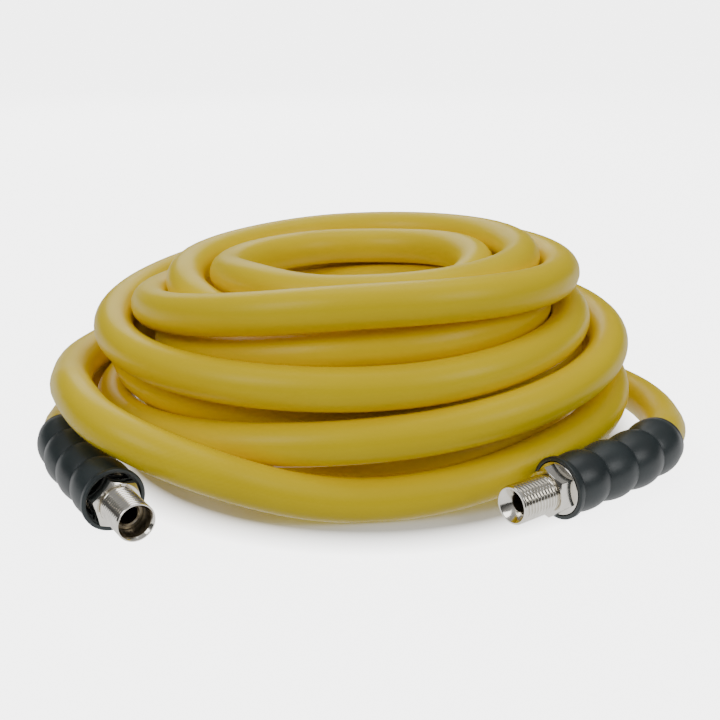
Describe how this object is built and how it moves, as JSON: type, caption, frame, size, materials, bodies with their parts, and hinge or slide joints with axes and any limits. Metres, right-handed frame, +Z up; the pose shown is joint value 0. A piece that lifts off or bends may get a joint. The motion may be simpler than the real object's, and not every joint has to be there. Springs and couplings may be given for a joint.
{
  "type": "coiled air hose",
  "caption": "Coiled round rubber air hose with a ribbed bend-restrictor boot and male threaded fitting at each end; one fitting swivels.",
  "frame": {"origin": "on the floor under the middle of the whole part's bounding box", "axes": "+Z up, +X towards the end with the rigid fitting, both threaded ends towards -Y"},
  "size_m": [0.2645, 0.2479, 0.0794],
  "materials": {
    "hose_rubber": "satin extruded rubber cover",
    "boot_rubber": "soft matt moulded rubber",
    "nickel_plate": "bright nickel plating on turned brass",
    "seal_rubber": "smooth",
    "washer_plastic": "smooth"
  },
  "bodies": {
    "hose": {"hose_coil": "hose_rubber", "left_hose_tail": "hose_rubber", "right_hose_tail": "hose_rubber", "left_boot": "boot_rubber", "right_boot": "boot_rubber", "left_ferrule": "nickel_plate", "right_ferrule": "nickel_plate", "right_stem": "nickel_plate", "left_swivel_stem": "nickel_plate", "left_swivel_o_ring": "seal_rubber", "left_thrust_washer": "washer_plastic"},
    "left_swivel": {"left_swivel_body": "nickel_plate"}
  },
  "joints": [
    {"name": "left_swivel_turn", "type": "hinge", "parent": "hose", "child": "left_swivel", "pos_m": [-0.0863, -0.104, 0.0114], "axis": [0.5592, -0.829, 0], "continuous": true}
  ]
}
